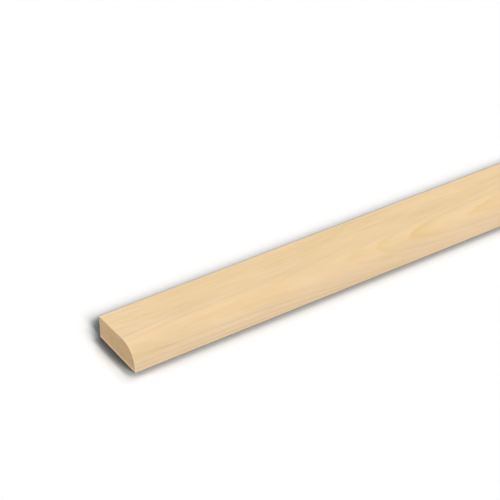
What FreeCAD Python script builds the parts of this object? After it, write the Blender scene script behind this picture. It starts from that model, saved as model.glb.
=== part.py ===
import FreeCAD, Part

import math
import os
import Sketcher

# Inside corner moulding: one length of planed softwood.
# The section has two flat contact faces that meet at a square corner, a wide one below
# and a narrow one behind. Seen from the room it has a top face that falls slightly to
# the back, and a broad quarter round down to a short upright land along the front.
# The stock lies on its wide face. X runs along the length, the rounded edge looks
# towards -Y, and the origin is the middle of the wide face. Lengths are millimetres.

DIMENSIONS = {
    "stock_length": 2400.0,
    "face_width": 30.0,
    "thickness": 12.0,
    "back_edge_height": 11.2,
    "nosing_radius": 9.5,
    "arris_radius": 0.2,
}
NODE = "corner_moulding"
TOLERANCE = 1e-3
LONG_EDGE_SHARE = 0.9


def driving_sheet(doc):
    """Puts every driving dimension in a spreadsheet cell of its own name."""
    sheet = doc.addObject("Spreadsheet::Sheet", "Dimensions")
    for row, (name, value) in enumerate(DIMENSIONS.items(), start=1):
        sheet.set(f"A{row}", name)
        sheet.set(f"B{row}", str(value))
        sheet.setAlias(f"B{row}", name)
    doc.recompute()
    return sheet


def origin_plane(body, role):
    """Returns the body's own origin plane of that role."""
    return next(f for f in body.Origin.OriginFeatures if f.Role == role)


def section_corners():
    """Rough places of the section's corners, which the constraints then settle."""
    half = DIMENSIONS["face_width"] / 2
    radius = DIMENSIONS["nosing_radius"]
    crest = DIMENSIONS["thickness"]
    return {
        "front_foot": FreeCAD.Vector(-half, 0, 0),
        "back_foot": FreeCAD.Vector(half, 0, 0),
        "back_top": FreeCAD.Vector(half, DIMENSIONS["back_edge_height"], 0),
        "round_start": FreeCAD.Vector(radius - half, crest, 0),
        "round_end": FreeCAD.Vector(-half, crest - radius, 0),
        "round_centre": FreeCAD.Vector(radius - half, crest - radius, 0),
    }


def draw_section(body):
    """Draws the section on the body's YZ plane, sized by the spreadsheet."""
    sketch = body.newObject("Sketcher::SketchObject", "Section")
    sketch.AttachmentSupport = [(origin_plane(body, "YZ_Plane"), "")]
    sketch.MapMode = "FlatFace"
    at = section_corners()

    wide_face = sketch.addGeometry(Part.LineSegment(at["front_foot"], at["back_foot"]), False)
    back_edge = sketch.addGeometry(Part.LineSegment(at["back_foot"], at["back_top"]), False)
    top_face = sketch.addGeometry(Part.LineSegment(at["back_top"], at["round_start"]), False)
    circle = Part.Circle(at["round_centre"], FreeCAD.Vector(0, 0, 1), DIMENSIONS["nosing_radius"])
    nosing = sketch.addGeometry(Part.ArcOfCircle(circle, math.pi / 2, math.pi), False)
    front_land = sketch.addGeometry(Part.LineSegment(at["round_end"], at["front_foot"]), False)

    start, end, centre = 1, 2, 3
    origin = (-1, 1)
    for constraint in (
        Sketcher.Constraint("Coincident", wide_face, end, back_edge, start),
        Sketcher.Constraint("Coincident", back_edge, end, top_face, start),
        Sketcher.Constraint("Tangent", top_face, end, nosing, start),
        Sketcher.Constraint("Tangent", nosing, end, front_land, start),
        Sketcher.Constraint("Coincident", front_land, end, wide_face, start),
        Sketcher.Constraint("Symmetric", wide_face, start, wide_face, end, *origin),
        Sketcher.Constraint("Horizontal", wide_face),
        Sketcher.Constraint("Vertical", back_edge),
        Sketcher.Constraint("Vertical", front_land),
    ):
        sketch.addConstraint(constraint)

    def bind(constraint, name, expression):
        index = sketch.addConstraint(constraint)
        sketch.renameConstraint(index, name)
        sketch.setExpression(f"Constraints.{name}", expression)

    width = DIMENSIONS["face_width"]
    back_height = DIMENSIONS["back_edge_height"]
    radius = DIMENSIONS["nosing_radius"]
    land = DIMENSIONS["thickness"] - radius
    bind(Sketcher.Constraint("DistanceX", wide_face, start, wide_face, end, width),
         "width", "Dimensions.face_width")
    bind(Sketcher.Constraint("DistanceY", back_edge, start, back_edge, end, back_height),
         "back_height", "Dimensions.back_edge_height")
    bind(Sketcher.Constraint("Radius", nosing, radius),
         "nosing_radius", "Dimensions.nosing_radius")
    bind(Sketcher.Constraint("DistanceY", *origin, nosing, centre, land),
         "land_height", "Dimensions.thickness - Dimensions.nosing_radius")
    return sketch


def run_length(body, sketch):
    """Runs the section out to the stock's length, half each way from the middle."""
    run = body.newObject("PartDesign::Pad", "Run")
    run.Profile = sketch
    run.Midplane = True
    run.setExpression("Length", "Dimensions.stock_length")
    return run


def long_arrises(shape):
    """Names the edges that run the stock's length at the section's three square corners."""
    half = DIMENSIONS["face_width"] / 2
    corners = ((-half, 0.0), (half, 0.0), (half, DIMENSIONS["back_edge_height"]))
    names = []
    for number, edge in enumerate(shape.Edges, start=1):
        middle = edge.CenterOfMass
        along = edge.Length > LONG_EDGE_SHARE * DIMENSIONS["stock_length"]
        if along and any(abs(middle.y - y) + abs(middle.z - z) < TOLERANCE for y, z in corners):
            names.append(f"Edge{number}")
    return names


def ease_arrises(body, run):
    """Takes the sharpness off the long arrises, as a light pass of abrasive does."""
    eased = body.newObject("PartDesign::Fillet", "EasedArrises")
    eased.Base = (run, long_arrises(run.Shape))
    eased.setExpression("Radius", "Dimensions.arris_radius")
    return eased


def build_moulding(doc):
    """Makes the whole moulding as one body."""
    body = doc.addObject("PartDesign::Body", "CornerMoulding")
    body.Label = NODE
    sketch = draw_section(body)
    doc.recompute()
    run = run_length(body, sketch)
    doc.recompute()
    ease_arrises(body, run)
    doc.recompute()
    return body


def check_document(doc, bodies):
    """Stops with a message if any object failed or any solid is unusable."""
    for item in doc.Objects:
        if {"Invalid", "Error"} & set(item.State):
            raise RuntimeError(f"{item.Name} did not compute: {item.State}")
    for body in bodies:
        shape = body.Shape
        if shape.isNull() or not shape.isValid() or len(shape.Solids) != 1:
            raise RuntimeError(f"{body.Label} is not one valid solid")
        box = shape.BoundBox
        sizes = (box.XLength, box.YLength, box.ZLength)
        wanted = [DIMENSIONS[k] for k in ("stock_length", "face_width", "thickness")]
        if any(abs(a - b) > TOLERANCE for a, b in zip(sizes, wanted)):
            raise RuntimeError(f"{body.Label} measures {sizes} and not {wanted}")
        print(f"{body.Label}: {sizes[0]:.1f} x {sizes[1]:.1f} x {sizes[2]:.1f} mm,"
              f" {shape.Volume / 1000:.1f} cm3, {len(shape.Faces)} faces")


def main():
    doc = FreeCAD.newDocument("InsideCornerMoulding")
    driving_sheet(doc)
    bodies = [build_moulding(doc)]
    check_document(doc, bodies)
    os.makedirs("parts", exist_ok=True)
    for body in bodies:
        body.Shape.exportStep(f"parts/{body.Label}.step")


main()
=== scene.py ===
import math
import random

import bpy
import numpy as np
from mathutils import Matrix, Vector, noise


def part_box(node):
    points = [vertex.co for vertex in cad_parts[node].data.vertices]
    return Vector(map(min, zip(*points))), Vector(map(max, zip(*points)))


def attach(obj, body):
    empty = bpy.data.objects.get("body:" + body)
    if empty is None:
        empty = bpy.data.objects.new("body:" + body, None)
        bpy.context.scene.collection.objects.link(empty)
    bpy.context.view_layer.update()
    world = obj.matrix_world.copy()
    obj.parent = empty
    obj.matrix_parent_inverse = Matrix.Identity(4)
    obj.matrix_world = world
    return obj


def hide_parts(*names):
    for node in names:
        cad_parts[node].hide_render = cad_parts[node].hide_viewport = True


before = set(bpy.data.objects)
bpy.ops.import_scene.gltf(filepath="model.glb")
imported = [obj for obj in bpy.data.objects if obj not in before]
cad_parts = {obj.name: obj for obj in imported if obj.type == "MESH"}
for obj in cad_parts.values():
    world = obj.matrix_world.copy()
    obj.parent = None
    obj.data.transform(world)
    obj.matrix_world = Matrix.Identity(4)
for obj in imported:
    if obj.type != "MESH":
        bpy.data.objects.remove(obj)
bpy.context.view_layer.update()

# The stock. Metres, in the row's frame: X along the length, the rounded edge towards -Y.
NODE = "corner_moulding"
BACK_EDGE_HEIGHT = 0.0112
NOSING_RADIUS = 0.0095
ARRIS_RADIUS = 0.0002

# How many faces go round each stretch of the section. Opposite sides add up to the same number,
# because the sawn ends are filled with a grid of as many rows and columns.
ARRIS_HALF_FACES = 3
NOSING_HALF_FACES = 20
WIDE_FACES = 50
TOP_FACES = 33
BACK_FACES = 20
LAND_FACES = 3

# Stations along the length. They crowd towards the sawn ends.
STATION_PITCH = 0.0044
END_STATIONS = (0.0006, 0.0011, 0.0018, 0.0028)
END_ARRIS_STEPS = 4

# Growth rings, round a pith that runs below and behind the stock. Each bend of the pith is the
# place of its middle from the near end, half its length, and how far the pith moves towards +Y
# and +Z in it. The first three follow the figure in the photograph, and the others are drawn
# between limits.
RING_SPACING = 0.001534
RING_PHASE = 0.03
RING_WAVE, RING_WAVE_SIZE = 0.10, (0.030, 0.006, 0.006)
PITH_Y, PITH_Z = 0.0274, -0.0424
SEEN_BENDS = ((0.0098, 0.0138, -0.0033, -0.0029), (0.1214, 0.0428, 0.0, -0.0092),
              (0.2114, 0.0295, 0.0, -0.0018))
SEEN_LENGTH = 0.24
BEND_SPACING = (0.12, 0.26)
BEND_HALF_LENGTH = (0.035, 0.080)
BEND_ACROSS = (-0.003, 0.003)
BEND_UP = (0.004, 0.009)

# Latewood comes in from this share of one year, and fades until that share of the next. The
# planed surface lies a little inside the solid, and its latewood stands a little proud.
LATE_START, LATE_END = 0.88, 0.50
SANDED_OFF = 0.00001
LATEWOOD_PROUD = 0.000004

# The sawn ends. Their edge is worn, and chipped in places, by chips that each have a size and a
# rarity. The saw left curved scores round its arbor, which waver, and fibres torn between them.
END_WEAR = 0.00018
CHIP_DEPTH = 0.00022
CHIPS = ((0.0021, 0.25), (0.0008, 0.3))
ARBOR_Y, ARBOR_Z = 0.05, -0.11
SCORE_PITCH, SCORE_DEPTH = 0.0013, 0.000035
WAVER_SIZE, WAVER = 0.006, 1.5
TORN_SIZE, TORN_DEPTH = 0.0011, 0.00004

# Seeds of what is random, and how far one step of a seed moves a wobble.
CHIP_SEEDS = (1, 2)
WAVER_SEED = 3
TORN_SEED = 4
BENDS_SEED = 5
RING_WAVE_SEED = 6
SEED_SHIFT = (17.3, 5.7, 11.9)

# Painted light, laid on in a pale colour: a pale rim round a sawn end and round the back edge of
# the top, and light that lifts a sawn end up from its lower edge, and the underside and up from
# it, out of their shade. Each has its reach and strength.
PAINTED_RIM_REACH, PAINTED_RIM_SHARE = 0.0009, 0.35
PAINTED_END_FOOT_REACH, PAINTED_END_FOOT_SHARE = 0.0035, 0.8
PAINTED_SIDE_FOOT_REACH, PAINTED_SIDE_FOOT_SHARE = 0.0011, 0.85
PAINTED_BACK_TOP_REACH, PAINTED_BACK_TOP_SHARE = 0.0010, 0.6

# The map that a baked copy uses: the long surface in strips, one above the other, and both ends
# side by side above them. The ends' scale is widths of the map to the metre.
MAP_STRIPS = 4
MAP_MARGIN = 0.005
STRIP_PITCH = 0.240
STRIP_HEIGHT = 0.236
ENDS_FLOOR = 0.9625
ENDS_SCALE = 2.85
ENDS_PITCH = 0.100

# The photograph's camera, solved from the lines of the moulding's edges. The back foot is the
# lower back corner of the near end, and its depth is measured along the way the camera looks.
PHOTO_PIXELS = 500
FOCAL_PIXELS = 1782.0
SENSOR_WIDTH = 36.0
CAMERA_HEADING = math.radians(33.37)
CAMERA_PITCH = math.radians(35.09)
BACK_FOOT_PIXEL = (100.17, 336.81)
BACK_FOOT_DEPTH = 0.7713
NEAR_CLIP = 0.01

# Studio lamps: the name, the share of the light on a level surface, the direction towards the
# lamp, and how wide it looks in degrees. The even sky gives the rest.
LAMPS = (
    ("key", 0.373, (0.471, 0.648, 1.0), 28),
    ("front", 0.359, (-0.104, -1.42, 1.0), 18),
    ("side", 0.143, (-2.354, 0.168, 1.0), 20),
)
SKY_SHARE = 0.125
SKY_COLOUR = (1.0, 1.0, 1.0, 1.0)

# The floor, and the share of the light that it throws back on the stock.
FLOOR_HALF = 15.0
FLOOR_DROP = 0.00002
FLOOR_BOUNCE = 0.80

# How the paper darkens where the stock hides soft light from one side of it. Each part has its
# reach, where its light comes from, the open share of that light at which it is darkest and the
# share at which it ends, and how dark it gets. The powers keep the shadow a neutral grey.
SHADES = (
    (0.018, (-0.50, -0.31, 0.81), 0.875, 1.00, 0.84),
    (0.016, (-0.40, -0.74, 0.54), 0.785, 0.915, 0.21),
    (0.005, (0.81, 0.12, 0.57), 0.62, 1.00, 0.56),
)
SHADE_POWERS = (1.0, 0.965, 0.93)
SHADE_SAMPLES = 32


def srgb(red, green, blue):
    """A colour written as 0 to 255 screen values, as the linear values that shaders take."""
    parts = [value / 255 for value in (red, green, blue)]
    linear = [p / 12.92 if p <= 0.04045 else ((p + 0.055) / 1.055) ** 2.4 for p in parts]
    return (*linear, 1.0)


# Colours of the wood, the pale colour of painted light, and the tints that multiply them in
# places, of which one is painted cool light and one partly so. Blue swings more than red and green
# as the wood darkens.
EARLYWOOD = srgb(230, 200, 155)
EARLYWOOD_WARM = srgb(229, 198, 147)
LATEWOOD = srgb(226, 191, 137)
LATEWOOD_LINES = srgb(221, 191, 148)
END_EARLYWOOD = srgb(203, 171, 127)
END_LATEWOOD = srgb(189, 154, 111)
# A colour of painted light, laid pale on edges and lower faces. It is not the wood's own colour.
PAINTED_LIGHT_COLOUR = srgb(236, 214, 180)
# Painted cool light: lighter and bluer on the nosing and the front.
PAINTED_FRONT_TINT = (1.03, 1.05, 1.125, 1.0)
# Bluer where the surface cuts the rings: partly the edge grain's own tint, partly painted cool
# light.
CUT_AND_COOL_LIGHT_TINT = (1.0, 1.01, 1.08, 1.0)
NEAR_END_TINT = (1.028, 1.034, 1.055, 1.0)
BLUE_SWING = 1.6

# Patterns in the wood: features to the metre along the fibres and across them, detail of the
# noise, and amount.
UNEVEN_YEARS = (26.0, 420.0, 3.0, 0.5)
STREAKS = (40.0, 620.0, 3.0, 0.125)
FINE_FIBRES = (120.0, 3000.0, 2.0, 0.06)
CLOUDS = (30.0, 110.0, 2.0, 0.19)
WARM_PATCHES = (60.0, 260.0, 2.0, 1.6)
PORES = (300.0, 4200.0, 3.0, 0.20)
MOTTLE = (100.0, 420.0, 3.0, 0.30)
# The roughness of all that noise, and how much of the earlywood is of the warm colour.
NOISE_ROUGHNESS = 0.55
WARM_SHARE = 0.5

# Smooth steps between two readings, with what each gives at the first and at the second. These
# two read how squarely the surface cuts the rings, and the first lays a tint that is partly
# painted cool light.
CUT_AND_COOL_LIGHT_WHERE_CUT = (0.06, 0.20, 0.0, 1.0)
LINES_WHERE_CUT = (0.03, 0.12, 0.0, 1.0)
# These read the place across the stock from the pith, which is less towards the nosing.
RINGS_ACROSS = (-0.032, -0.026, 1.0, 0.3)
FADED_ACROSS = (-0.038, -0.034, 0.45, 0.0)
# Where the painted cool light on the front comes in.
PAINTED_FRONT_ACROSS = (-0.037, -0.030, 1.0, 0.0)
STREAKS_ACROSS = (-0.029, -0.020, 0.75, 1.7)
# This reads the distance from the nearer end, and this the number of the year.
NEAR_END = (0.012, 0.034, 1.0, 0.0)
FADED_YEARS = (43.5, 45.0, 0.0, 1.0)

# How long a year's latewood stays full, which years have the most of it, how much an average
# year has and how far that swings, and what the painted cool light on the front loses near an end.
LATE_FULL = 0.02
HARD_YEAR, HARD_YEAR_PERIOD = 47, 6
HARDNESS, HARDNESS_SWING = 0.60, 0.40
PAINTED_FRONT_LOSS = 0.4

# The surface of the wood. The reliefs say how much each pattern adds to the height of the bump.
PLANED_ROUGHNESS, SAWN_ROUGHNESS = 0.56, 0.78
WOOD_IOR, WOOD_SPECULAR = 1.45, 0.35
FIBRE_RELIEF, LATE_RELIEF, PORE_RELIEF = 8.0, 0.5, 10.0
BUMP_STRENGTH, BUMP_DEPTH = 0.5, 0.00002


# Section of the stock

def rounded_corner(before, corner, after, radius):
    """The centre of a corner's round, the direction from it to the round's start, and its turn."""
    along_in = (corner - before) / np.linalg.norm(corner - before)
    along_out = (after - corner) / np.linalg.norm(after - corner)
    start = np.array((along_in[1], -along_in[0]))
    end = np.array((along_out[1], -along_out[0]))
    half_turn = math.acos(float(np.clip(start @ end, -1, 1))) / 2
    bisector = (start + end) / np.linalg.norm(start + end)
    centre = corner - bisector * radius / math.cos(half_turn)
    return centre, math.atan2(start[1], start[0]), 2 * half_turn


def section_corners(width, crest):
    """The section's four corners in the YZ plane, and their radii. The last is the nosing's."""
    half = width / 2
    centre = np.array((NOSING_RADIUS - half, crest - NOSING_RADIUS))
    back_top = np.array((half, BACK_EDGE_HEIGHT))
    across = back_top - centre
    tilt = math.asin(NOSING_RADIUS / np.linalg.norm(across)) - math.atan2(across[1], across[0])
    nose_height = BACK_EDGE_HEIGHT + width * math.tan(tilt)
    corners = [np.array(c) for c in ((-half, 0.0), (half, 0.0), back_top, (-half, nose_height))]
    return corners, (ARRIS_RADIUS, ARRIS_RADIUS, ARRIS_RADIUS, NOSING_RADIUS)


def section_sides(width, crest):
    """Each side of the section, from the middle of one corner's round to the middle of the next:
    its points and its outward normals."""
    corners, radii = section_corners(width, crest)
    count = len(corners)
    rounds = [rounded_corner(corners[i - 1], corners[i], corners[(i + 1) % count], radii[i])
              for i in range(count)]
    round_faces = (ARRIS_HALF_FACES, ARRIS_HALF_FACES, ARRIS_HALF_FACES, NOSING_HALF_FACES)
    straight_faces = (WIDE_FACES, BACK_FACES, TOP_FACES, LAND_FACES)
    sides = []
    for i in range(count):
        after = (i + 1) % count
        normals, points = [], []
        for which, low, high in ((i, 0.5, 1.0), (after, 0.0, 0.5)):
            centre, start, turn = rounds[which]
            for share in np.linspace(low, high, round_faces[which] + 1):
                angle = start + turn * share
                normals.append(np.array((math.cos(angle), math.sin(angle))))
                points.append(centre + radii[which] * normals[-1])
        first = round_faces[i] + 1
        shares = np.linspace(0, 1, straight_faces[i] + 1)[1:-1]
        between = [points[first - 1] * (1 - share) + points[first] * share for share in shares]
        points[first:first] = between
        normals[first:first] = [normals[first]] * len(between)
        sides.append((np.array(points), np.array(normals)))
    return sides


def joined(sides, which):
    """The sides' points (0) or normals (1) as one closed loop, with no point twice."""
    return np.concatenate([side[which][:-1] for side in sides])


# Growth of the tree

def pith_bends(length):
    """The bends that the photograph shows, then others like them along the rest of the length."""
    draw = random.Random(BENDS_SEED)
    bends = list(SEEN_BENDS)
    place, sign = SEEN_LENGTH, 1
    while place < length:
        place += draw.uniform(*BEND_SPACING)
        bends.append((place, draw.uniform(*BEND_HALF_LENGTH), draw.uniform(*BEND_ACROSS),
                      sign * draw.uniform(*BEND_UP)))
        sign = -sign
    return bends


def fibre_places(points):
    """Each point measured from the pith, so that a pattern laid in it follows the fibres."""
    low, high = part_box(NODE)
    along = points[:, 0] - low.x
    y, z = np.full(len(points), PITH_Y), np.full(len(points), PITH_Z)
    for middle, half, across, up in pith_bends(high.x - low.x):
        share = 0.5 + 0.5 * np.tanh((along - middle) / half)
        y += across * share
        z += up * share
    return np.stack([points[:, 0], points[:, 1] - y, points[:, 2] - z], 1)


def wobble(point, size, seed):
    """Smooth noise between about -1 and 1 whose features are of this size."""
    place = Vector([p / s for p, s in zip(point, size)])
    return noise.noise(place + Vector([seed * shift for shift in SEED_SHIFT]))


def ring_numbers(fibre):
    """How many years of growth lie between the pith and each place."""
    waves = np.array([wobble(place, RING_WAVE_SIZE, RING_WAVE_SEED) for place in fibre])
    return np.hypot(fibre[:, 1], fibre[:, 2]) / RING_SPACING + RING_PHASE + RING_WAVE * waves


def latewood_share(rings):
    """How much of the wood is latewood there: most where a year starts, then less and less."""
    phase = rings % 1.0
    falling = np.clip((LATE_END - phase) / LATE_END, 0, 1)
    rising = np.clip((phase - LATE_START) / (1 - LATE_START), 0, 1)
    return np.maximum(falling, rising)


# Long surface of the stock

def stations(start, end):
    """Places along the length between the end arrises."""
    low = [start + d for d in END_STATIONS]
    high = [end - d for d in reversed(END_STATIONS)]
    count = round((high[0] - low[-1]) / STATION_PITCH)
    return low[:-1] + list(np.linspace(low[-1], high[0], count + 1)) + high[1:]


def end_arris_radius(x, y, z):
    """How much is worn or broken off the sharp edge of a sawn end there."""
    chips = [wobble((x, y, z), (size,) * 3, seed) - rarity
             for (size, rarity), seed in zip(CHIPS, CHIP_SEEDS)]
    return END_WEAR + CHIP_DEPTH * sum(max(0.0, chip) for chip in chips)


def sawn_depth(x, y, z):
    """How far a sawn end lies inside its plane, from the saw's curved scores and torn fibres."""
    from_arbor = math.hypot(y - ARBOR_Y, z - ARBOR_Z)
    waver = WAVER * wobble((x, y, z), (WAVER_SIZE,) * 3, WAVER_SEED)
    score = 0.5 + 0.5 * math.sin(2 * math.pi * from_arbor / SCORE_PITCH + waver)
    torn = 0.5 + 0.5 * wobble((x, y, z), (TORN_SIZE,) * 3, TORN_SEED)
    return SCORE_DEPTH * score + TORN_DEPTH * torn


def arris_loops(outline, normals, x, inward):
    """The loops that round the edge of a sawn end, from the end's rim to the long surface, and how
    far each of their points lies from the rim, measured over the surface."""
    radii = np.array([end_arris_radius(x, *place) for place in outline])
    depths = np.array([sawn_depth(x, *place) for place in outline])
    loops, from_rim = [], []
    for step in range(END_ARRIS_STEPS, -1, -1):
        angle = math.pi / 2 * step / END_ARRIS_STEPS
        setback = radii * (1 - math.sin(angle)) + depths * math.sin(angle)
        inset = radii * (1 - math.cos(angle))
        loops.append(np.column_stack([x + inward * setback, outline - normals * inset[:, None]]))
        from_rim.append(radii * (math.pi / 2 - angle))
    return loops, from_rim


def build_loops(outline, normals, start, end):
    """All loops of the long surface from the near sawn end to the far one, and for the points of
    those that round the ends, how far they lie from the end's rim."""
    near, from_near_rim = arris_loops(outline, normals, start, 1)
    far, from_far_rim = arris_loops(outline, normals, end, -1)
    middle = [np.column_stack([np.full(len(outline), x), outline]) for x in stations(start, end)]
    from_rim = from_near_rim + [np.zeros(len(outline)) for _ in middle] + from_far_rim[::-1]
    return near + middle + far[::-1], np.array(from_rim)


def relieved(loops, normals):
    """The loops' points in one row, with the latewood standing proud of the planed surface."""
    skin = np.concatenate(loops)
    late = latewood_share(ring_numbers(fibre_places(skin)))
    sunk = SANDED_OFF + LATEWOOD_PROUD * (1 - late)
    skin[:, 1:] -= np.tile(normals, (len(loops), 1)) * sunk[:, None]
    return skin


def next_round(around):
    """For each place round a loop, the number of the place after it."""
    return np.roll(np.arange(around), -1)


def skin_faces(along, around):
    """The quads between each loop and the one after it."""
    start = np.arange(along - 1)[:, None] * around
    here, following = start + np.arange(around), start + next_round(around)
    quads = np.stack([here, following, following + around, here + around], -1)
    return quads.reshape(-1, 4).tolist()


# Sawn ends

def end_grid(loop, rows, columns, x, inward):
    """A grid that fills a sawn end inside its loop, as rows of places. Its rim is the loop."""
    bottom = loop[:columns + 1]
    back = loop[columns:columns + rows + 1]
    top = loop[columns + rows:2 * columns + rows + 1][::-1]
    front = np.concatenate([loop[2 * columns + rows:], loop[:1]])[::-1]
    grid = np.zeros((rows + 1, columns + 1, 3))
    for r in range(rows + 1):
        v = r / rows
        for c in range(columns + 1):
            u = c / columns
            edges = (1 - v) * bottom[c] + v * top[c] + (1 - u) * front[r] + u * back[r]
            corners = ((1 - u) * (1 - v) * bottom[0] + u * (1 - v) * bottom[-1]
                       + (1 - u) * v * top[0] + u * v * top[-1])
            grid[r, c] = edges - corners
            if 0 < r < rows and 0 < c < columns:
                grid[r, c, 0] = x + inward * sawn_depth(x, *grid[r, c, 1:])
    return grid


def end_faces(first, added, rows, columns, inward):
    """The quads of a sawn end. Its rim is the loop whose points start at first, and its inner
    points are numbered from added, row by row."""
    around = 2 * (rows + columns)

    def number(r, c):
        if r == 0:
            return first + c
        if c == columns:
            return first + columns + r
        if r == rows:
            return first + 2 * columns + rows - c
        if c == 0:
            return first + around - r
        return added + (r - 1) * (columns - 1) + c - 1

    quads = []
    for r in range(rows):
        for c in range(columns):
            quad = (number(r, c), number(r, c + 1), number(r + 1, c + 1), number(r + 1, c))
            quads.append(quad[::-1] if inward > 0 else quad)
    return quads


# Map for baked copies

def strip_places(loops, seam, low_x, length):
    """Map places for the long surface's quads: strips of the length, one above the other, each
    with the section unrolled from the seam."""
    around, along = len(loops[0]), len(loops)
    steps = np.linalg.norm(np.roll(loops[along // 2], -1, 0) - loops[along // 2], axis=1)
    unrolled = np.concatenate([[0.0], np.cumsum(np.roll(steps, -seam))])
    place = (np.arange(around) - seam) % around
    v_here, v_next = unrolled[place] / unrolled[-1], unrolled[place + 1] / unrolled[-1]
    x = np.array(loops)[:, :, 0] - low_x
    strip_length = length / MAP_STRIPS
    strip = np.clip((x[:-1] + x[1:]) / 2 // strip_length, 0, MAP_STRIPS - 1)
    strip_floor = strip * STRIP_PITCH + (STRIP_PITCH - STRIP_HEIGHT) / 2
    following = next_round(around)
    corners = ((x[:-1], v_here), (x[:-1][:, following], v_next),
               (x[1:][:, following], v_next), (x[1:], v_here))
    quads = np.zeros((along - 1, around, 4, 2))
    for corner, (along_x, v) in enumerate(corners):
        share = (along_x - strip * strip_length) / strip_length
        quads[:, :, corner, 0] = MAP_MARGIN + (1 - 2 * MAP_MARGIN) * share
        quads[:, :, corner, 1] = strip_floor + STRIP_HEIGHT * v
    return quads


def end_places(points, which):
    """Map places for points of a sawn end, by their Y and Z."""
    half_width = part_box(NODE)[1].y
    u = MAP_MARGIN + ENDS_PITCH * which + ENDS_SCALE * (points[..., 0] + half_width)
    return np.stack([u, ENDS_FLOOR + ENDS_SCALE * points[..., 1]], -1)


def move_arrises_to_ends(places, outline, normals, from_rim):
    """Moves the map places of the rounded edges of the ends from the strips to the ends' rims."""
    flattened = outline[None] + normals[None] * from_rim[:, :, None]
    following = next_round(len(outline))
    for which, first in enumerate((0, len(places) - END_ARRIS_STEPS)):
        laid = end_places(flattened, which)
        for band in range(first, first + END_ARRIS_STEPS):
            here, beyond = laid[band], laid[band + 1]
            places[band] = np.stack([here, here[following], beyond[following], beyond], 1)


# Whole mesh, and what the material reads on it

def fading(distance, reach):
    """One at no distance, and evenly less until zero at this reach."""
    return np.clip(1 - distance / reach, 0, 1)


def painted_light_share(points, outline, skin_count):
    """How much painted light shows at each point: a pale rim, and light lifting lower edges out of
    shade.
    """
    height = points[:, 2]
    from_back_top = np.hypot(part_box(NODE)[1].y - points[:, 1], BACK_EDGE_HEIGHT - height)
    # Painted light lifting the lower edges out of their shade, and a pale fringe on the back top
    # edge.
    painted_light = np.maximum(PAINTED_SIDE_FOOT_SHARE * fading(height, PAINTED_SIDE_FOOT_REACH),
                      PAINTED_BACK_TOP_SHARE * fading(from_back_top, PAINTED_BACK_TOP_REACH))
    rim_count = (END_ARRIS_STEPS + 1) * len(outline)
    # A painted pale rim on the rounded edges of both sawn ends.
    painted_light[:rim_count] = PAINTED_RIM_SHARE
    painted_light[skin_count - rim_count:skin_count] = PAINTED_RIM_SHARE
    on_ends = points[skin_count:]
    from_outline = np.linalg.norm(on_ends[:, None, 1:] - outline[None], axis=2).min(1)
    # On the ends: a painted pale rim, and painted light lifting the foot out of its shade.
    painted_rim = PAINTED_RIM_SHARE * fading(from_outline, PAINTED_RIM_REACH)
    painted_foot = PAINTED_END_FOOT_SHARE * fading(on_ends[:, 2], PAINTED_END_FOOT_REACH) ** 2
    painted_light[skin_count:] = np.maximum(painted_rim, painted_foot)
    return painted_light


def add_values(mesh, name, values):
    """Stores one number for each vertex under a name that the material reads."""
    attribute = mesh.attributes.new(name, "FLOAT", "POINT")
    attribute.data.foreach_set("value", np.asarray(values, np.float32))


def add_wood_values(mesh, points, outline, normals, skin_count):
    """Stores the places in the tree and on the stock that the material reads."""
    low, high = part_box(NODE)
    around = len(outline)
    fibre = fibre_places(points)
    on_end = np.ones(len(points))
    on_end[around:skin_count - around] = 0.0
    from_pith = fibre[:skin_count, 1:]
    radial = from_pith / np.linalg.norm(from_pith, axis=1)[:, None]
    skin_normals = np.tile(normals, (skin_count // around, 1))
    edge_cut = np.zeros(len(points))
    edge_cut[:skin_count] = 1 - np.abs((radial * skin_normals).sum(1))
    add_values(mesh, "end_grain", on_end)
    add_values(mesh, "edge_cut", edge_cut)
    # The share of painted light, stored under the name rim.
    add_values(mesh, "rim", painted_light_share(points, outline, skin_count))
    add_values(mesh, "from_end", np.minimum(points[:, 0] - low.x, high.x - points[:, 0]))
    add_values(mesh, "rings", ring_numbers(fibre))
    fibres = mesh.attributes.new("fibre", "FLOAT_VECTOR", "POINT")
    fibres.data.foreach_set("vector", fibre.astype(np.float32).ravel())


def build_moulding():
    """The whole stock as one closed mesh, with the map and values that its material reads."""
    low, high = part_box(NODE)
    sides = section_sides(high.y - low.y, high.z)
    outline, normals = joined(sides, 0), joined(sides, 1)
    columns, rows = len(sides[0][0]) - 1, len(sides[1][0]) - 1
    loops, from_rim = build_loops(outline, normals, low.x, high.x)
    around = len(outline)

    skin = relieved(loops, normals)
    faces = skin_faces(len(loops), around)
    places = strip_places(loops, columns, low.x, high.x - low.x)
    move_arrises_to_ends(places, outline, normals, from_rim)
    points, maps = skin, [places.reshape(-1, 2)]
    # Each end has its place, its way into the stock, and the first point of its rim.
    ends = ((low.x, 1, 0), (high.x, -1, len(skin) - around))
    for which, (x, inward, first) in enumerate(ends):
        grid = end_grid(skin[first:first + around], rows, columns, x, inward)
        quads = end_faces(first, len(points), rows, columns, inward)
        points = np.concatenate([points, grid[1:-1, 1:-1].reshape(-1, 3)])
        faces += quads
        maps.append(end_places(points[np.array(quads)][..., 1:], which).reshape(-1, 2))

    mesh = bpy.data.meshes.new("moulding")
    mesh.from_pydata(points.tolist(), [], faces)
    mesh.polygons.foreach_set("use_smooth", np.ones(len(faces), bool))
    layer = mesh.uv_layers.new(name="OFBake")
    layer.uv.foreach_set("vector", np.concatenate(maps).astype(np.float32).ravel())
    add_wood_values(mesh, points, outline, normals, len(skin))
    mesh.validate()
    mesh.update()
    return mesh


# Materials

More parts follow.
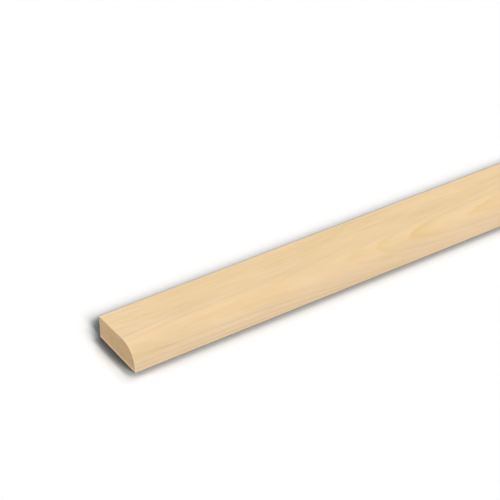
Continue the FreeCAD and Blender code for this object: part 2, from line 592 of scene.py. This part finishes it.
class Shader:
    """Adds nodes to one material or world, with their inputs set or linked as they are made."""

    # The Mix node has sockets for every type of value, and these are the ones for colours.
    MIX_FIRST, MIX_SECOND, MIX_RESULT = 6, 7, 2

    def __init__(self, owner):
        owner.use_nodes = True
        self.tree = owner.node_tree
        self.tree.nodes.clear()

    def plug(self, socket, value):
        """Links another node's output to the socket, or sets a constant on it."""
        if isinstance(value, bpy.types.NodeSocket):
            self.tree.links.new(value, socket)
        else:
            socket.default_value = value

    def add(self, kind, *inputs, named=(), **settings):
        """A new node with these settings, and inputs in the order of its sockets or by name."""
        node = self.tree.nodes.new(kind)
        for name, value in settings.items():
            setattr(node, name, value)
        for socket, value in [*enumerate(inputs), *dict(named).items()]:
            self.plug(node.inputs[socket], value)
        return node

    def attribute(self, name, output="Fac"):
        """What the mesh holds under this name."""
        return self.add("ShaderNodeAttribute", attribute_name=name).outputs[output]

    def math(self, operation, *values):
        """One sum of these values."""
        return self.add("ShaderNodeMath", *values, operation=operation).outputs[0]

    def mix(self, factor, first, second, blend="MIX"):
        """The first colour, blended with this share of the second."""
        node = self.add("ShaderNodeMix", data_type="RGBA", blend_type=blend,
                        named={"Factor": factor})
        self.plug(node.inputs[self.MIX_FIRST], first)
        self.plug(node.inputs[self.MIX_SECOND], second)
        return node.outputs[self.MIX_RESULT]

    def noise(self, vector, along, across, detail, amount):
        """Noise round zero, with so many features to the metre along the fibres and across."""
        place = self.add("ShaderNodeVectorMath", vector, (along, across, across),
                         operation="MULTIPLY").outputs[0]
        node = self.add("ShaderNodeTexNoise", noise_dimensions="3D",
                        named={"Vector": place, "Scale": 1.0, "Detail": detail,
                               "Roughness": NOISE_ROUGHNESS})
        return self.math("MULTIPLY_ADD", node.outputs["Fac"], amount, -amount / 2)

    def ramp(self, value, *stops):
        """From and to on the value, then what they give, with a smooth step between."""
        named = dict(zip(("From Min", "From Max", "To Min", "To Max"), stops))
        node = self.add("ShaderNodeMapRange", value, interpolation_type="SMOOTHSTEP", named=named)
        return node.outputs[0]

    def scaled(self, colour, *parts):
        """A colour made lighter or darker by the sum of these parts, each round zero."""
        total = 0.0
        for part in parts:
            total = self.math("ADD", part, total)
        level = self.math("ADD", total, 1.0)
        blue = self.math("MULTIPLY_ADD", total, BLUE_SWING, 1.0)
        change = self.add("ShaderNodeCombineColor", level, level, blue).outputs[0]
        return self.mix(1.0, colour, change, "MULTIPLY")


def latewood(s, fibre, across):
    """How much latewood shows. Some years have more of it, the rings are strongest towards the
    nosing, and the outermost years fade again at its foot."""
    years = s.math("ADD", s.attribute("rings"), s.noise(fibre, *UNEVEN_YEARS))
    phase = s.math("FRACT", years)
    falling = s.ramp(phase, LATE_FULL, LATE_END, 1.0, 0.0)
    rising = s.ramp(phase, LATE_START, 1.0, 0.0, 1.0)
    year = s.math("FLOOR", s.math("ADD", years, 1 - LATE_START))
    turn = s.math("MULTIPLY", s.math("SUBTRACT", year, HARD_YEAR), 2 * math.pi / HARD_YEAR_PERIOD)
    hardness = s.math("MULTIPLY_ADD", s.math("COSINE", turn), HARDNESS_SWING, HARDNESS)
    hardness = s.math("MULTIPLY", hardness, s.ramp(across, *RINGS_ACROSS))
    faded = s.math("MULTIPLY", s.ramp(across, *FADED_ACROSS), s.ramp(years, *FADED_YEARS))
    hardness = s.math("MULTIPLY", hardness, s.math("SUBTRACT", 1.0, faded))
    return s.math("MULTIPLY", s.math("MAXIMUM", falling, rising), hardness)


def planed_colour(s, fibre, across, near_end, late, streaks, fine):
    """The wood along the grain, with painted cool light towards the nosing, a tint where it cuts
    rings that is partly painted light too, and a tint near an end.
    """
    edge_cut = s.attribute("edge_cut")
    warmth = s.math("ADD", s.noise(fibre, *WARM_PATCHES), WARM_SHARE)
    early_colour = s.mix(warmth, EARLYWOOD, EARLYWOOD_WARM)
    late_colour = s.mix(s.ramp(edge_cut, *LINES_WHERE_CUT), LATEWOOD, LATEWOOD_LINES)
    colour = s.mix(late, early_colour, late_colour)
    colour = s.scaled(colour, streaks, fine, s.noise(fibre, *CLOUDS))
    # Painted cool light, lighter and bluer towards the nosing, and less of it near an end.
    painted_front = s.math("MULTIPLY", s.ramp(across, *PAINTED_FRONT_ACROSS),
                   s.math("MULTIPLY_ADD", near_end, -PAINTED_FRONT_LOSS, 1.0))
    # Where the rings are cut squarely: the edge grain's tint, and in part painted cool light.
    cut = s.ramp(edge_cut, *CUT_AND_COOL_LIGHT_WHERE_CUT)
    for share, tint in ((painted_front, PAINTED_FRONT_TINT), (cut, CUT_AND_COOL_LIGHT_TINT), (near_end, NEAR_END_TINT)):
        colour = s.mix(share, colour, tint, "MULTIPLY")
    return colour


def planed_pine():
    """Pale planed softwood, and the same growth rings where a saw has cut across them."""
    material = bpy.data.materials.new("planed_pine")
    s = Shader(material)
    fibre = s.attribute("fibre", "Vector")
    across = s.add("ShaderNodeSeparateXYZ", fibre).outputs["Y"]
    end_grain = s.attribute("end_grain")
    near_end = s.ramp(s.attribute("from_end"), *NEAR_END)
    late = latewood(s, fibre, across)
    strength = s.math("MULTIPLY", s.math("ADD", near_end, 1.0), s.ramp(across, *STREAKS_ACROSS))
    streaks = s.math("MULTIPLY", s.noise(fibre, *STREAKS), strength)
    fine = s.noise(fibre, *FINE_FIBRES)
    pores = s.noise(fibre, *PORES)

    planed = planed_colour(s, fibre, across, near_end, late, streaks, fine)
    sawn = s.mix(late, END_EARLYWOOD, END_LATEWOOD)
    sawn = s.scaled(sawn, pores, s.noise(fibre, *MOTTLE))
    # Painted light: the pale colour is laid where the rim share says.
    colour = s.mix(s.attribute("rim"), s.mix(end_grain, planed, sawn), PAINTED_LIGHT_COLOUR)

    rougher = SAWN_ROUGHNESS - PLANED_ROUGHNESS
    roughness = s.math("MULTIPLY_ADD", end_grain, rougher, PLANED_ROUGHNESS)
    roughness = s.math("ADD", roughness, streaks)
    height = s.math("ADD", s.math("MULTIPLY", fine, FIBRE_RELIEF),
                    s.math("MULTIPLY", late, LATE_RELIEF))
    pored = s.math("MULTIPLY", end_grain, s.math("MULTIPLY", pores, PORE_RELIEF))
    height = s.math("ADD", height, pored)
    bump = s.add("ShaderNodeBump", named={"Height": height, "Strength": BUMP_STRENGTH,
                                          "Distance": BUMP_DEPTH})
    surface = s.add("ShaderNodeBsdfPrincipled",
                    named={"Base Color": colour, "Roughness": roughness,
                           "Normal": bump.outputs[0], "IOR": WOOD_IOR,
                           "Specular IOR Level": WOOD_SPECULAR})
    s.add("ShaderNodeOutputMaterial", surface.outputs[0])
    return material


def seen_directly(s):
    """One for rays from the camera, or for what shows in gloss or through glass; else zero."""
    path = s.add("ShaderNodeLightPath").outputs
    through = s.math("MAXIMUM", path["Is Glossy Ray"], path["Is Transmission Ray"])
    return s.math("MAXIMUM", path["Is Camera Ray"], through)


def studio_floor():
    """White paper that shows pure white away from the stock, and is darker close beside it."""
    material = bpy.data.materials.new("studio_paper")
    s = Shader(material)
    seen = seen_directly(s)
    shade = 1.0
    for reach, source, darkest, ends, depth in SHADES:
        towards = s.add("ShaderNodeCombineXYZ", *source).outputs[0]
        node = s.add("ShaderNodeAmbientOcclusion", samples=SHADE_SAMPLES,
                     named={"Distance": reach, "Normal": towards})
        shade = s.math("MULTIPLY", s.ramp(node.outputs["AO"], darkest, ends, depth, 1.0), shade)
    levels = []
    for power in SHADE_POWERS:
        extra = s.math("SUBTRACT", s.math("POWER", shade, power), FLOOR_BOUNCE)
        levels.append(s.math("MULTIPLY_ADD", seen, extra, FLOOR_BOUNCE))
    surface = s.add("ShaderNodeBsdfDiffuse", s.add("ShaderNodeCombineColor", *levels).outputs[0])
    s.add("ShaderNodeOutputMaterial", surface.outputs[0])
    return material


# Studio

def add_lamp(name, share, source, width):
    """A distant soft lamp that gives a level surface this share of plain light."""
    direction = Vector(source).normalized()
    lamp = bpy.data.lights.new(name, "SUN")
    lamp.angle = math.radians(width)
    lamp.energy = math.pi * share / direction.z
    holder = bpy.data.objects.new(name, lamp)
    holder.rotation_euler = direction.to_track_quat("Z", "Y").to_euler()
    bpy.context.scene.collection.objects.link(holder)


def add_sky():
    """A weak even sky. Seen straight or in a reflection it is the white backdrop."""
    world = bpy.data.worlds.new("studio_sky")
    s = Shader(world)
    level = s.math("MULTIPLY_ADD", seen_directly(s), 1.0 - SKY_SHARE, SKY_SHARE)
    sky = s.add("ShaderNodeBackground", SKY_COLOUR, level)
    s.add("ShaderNodeOutputWorld", sky.outputs[0])
    bpy.context.scene.world = world


def add_floor():
    """A wide sheet of paper just under the stock."""
    mesh = bpy.data.meshes.new("studio_floor")
    h, z = FLOOR_HALF, -FLOOR_DROP
    mesh.from_pydata([(-h, -h, z), (h, -h, z), (h, h, z), (-h, h, z)], [], [(0, 1, 2, 3)])
    floor = bpy.data.objects.new("studio_floor", mesh)
    mesh.materials.append(studio_floor())
    bpy.context.scene.collection.objects.link(floor)


def add_camera():
    """The photograph's camera, set so that the moulding's back foot falls on its own pixel."""
    low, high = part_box(NODE)
    right = Vector((math.cos(CAMERA_HEADING), -math.sin(CAMERA_HEADING), 0))
    level = Vector((math.sin(CAMERA_HEADING), math.cos(CAMERA_HEADING), 0))
    forward = level * math.cos(CAMERA_PITCH) - Vector((0, 0, math.sin(CAMERA_PITCH)))
    up = right.cross(forward)
    middle = PHOTO_PIXELS / 2
    across = (BACK_FOOT_PIXEL[0] - middle) / FOCAL_PIXELS
    down = (BACK_FOOT_PIXEL[1] - middle) / FOCAL_PIXELS
    back_foot = Vector((low.x, high.y, low.z))
    place = back_foot - BACK_FOOT_DEPTH * (forward + across * right - down * up)
    camera = bpy.data.cameras.new("camera")
    camera.sensor_width = SENSOR_WIDTH
    camera.lens = FOCAL_PIXELS / PHOTO_PIXELS * SENSOR_WIDTH
    camera.clip_start = NEAR_CLIP
    holder = bpy.data.objects.new("camera", camera)
    axes = Matrix((right, up, -forward)).transposed()
    holder.matrix_world = Matrix.Translation(place) @ axes.to_4x4()
    bpy.context.scene.collection.objects.link(holder)
    bpy.context.scene.camera = holder


def add_moulding():
    """The dressed stock, in place of the plain solid."""
    stock = bpy.data.objects.new("moulding_stock", build_moulding())
    bpy.context.scene.collection.objects.link(stock)
    stock.data.materials.append(planed_pine())
    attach(stock, "root")
    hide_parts(NODE)


add_moulding()
add_floor()
add_sky()
for lamp in LAMPS:
    add_lamp(*lamp)
add_camera()
bpy.context.scene.view_settings.view_transform = "Standard"
